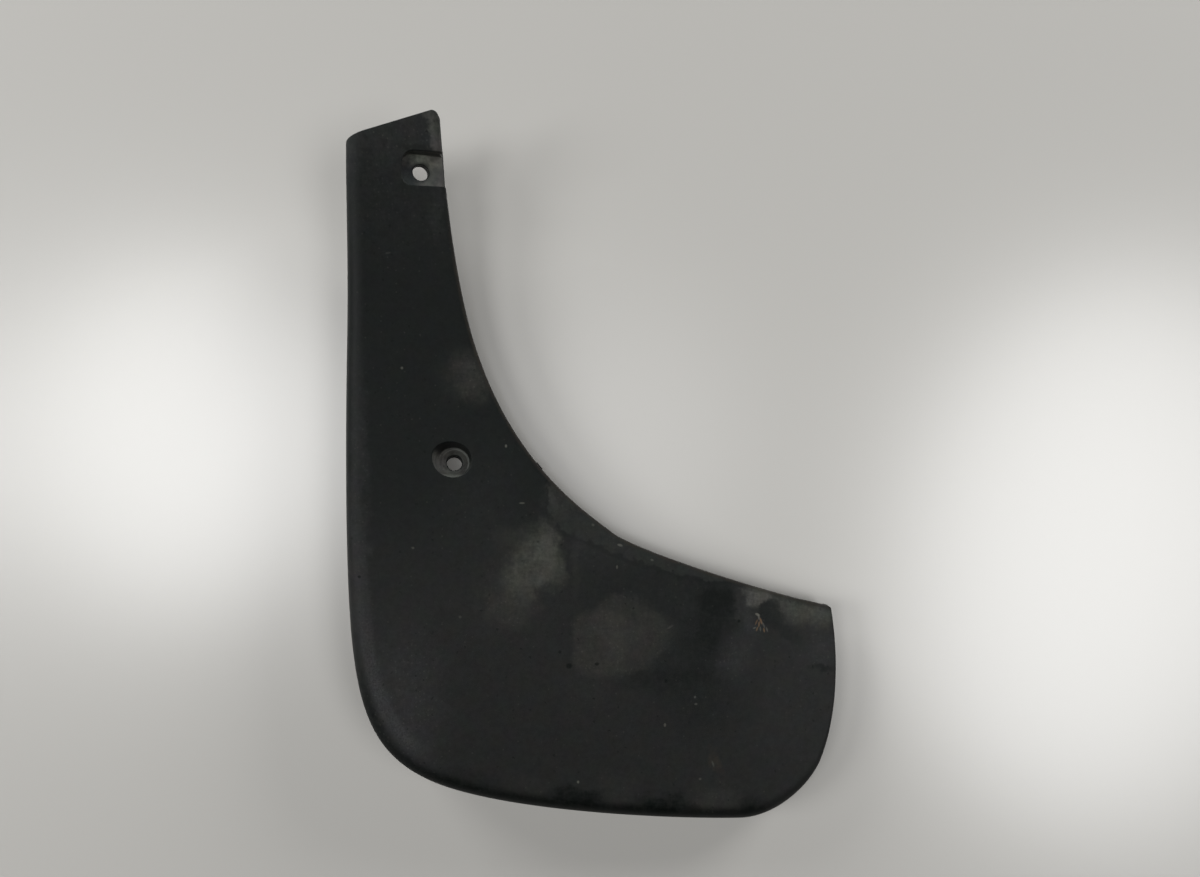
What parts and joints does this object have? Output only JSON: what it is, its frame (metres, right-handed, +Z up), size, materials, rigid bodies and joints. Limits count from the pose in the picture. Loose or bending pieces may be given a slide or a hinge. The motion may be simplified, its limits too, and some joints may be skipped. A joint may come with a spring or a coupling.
{
  "type": "mudguard",
  "caption": "Moulded black plastic mud flap for a car wheel arch, with a broad flap, a narrow fixing arm, a turned-down rim and recessed screw seats.",
  "frame": {"origin": "under the middle of the part's bounding box, on the ground that the rim stands on", "axes": "+Z up, out of the face; +Y up the fixing arm; +X from the rim side to the free end of the flap"},
  "size_m": [0.2116, 0.299, 0.0469],
  "materials": {
    "mudguard": "fine grained, worn and dusty"
  },
  "bodies": {
    "root": {"mudguard": "mudguard"}
  },
  "joints": []
}
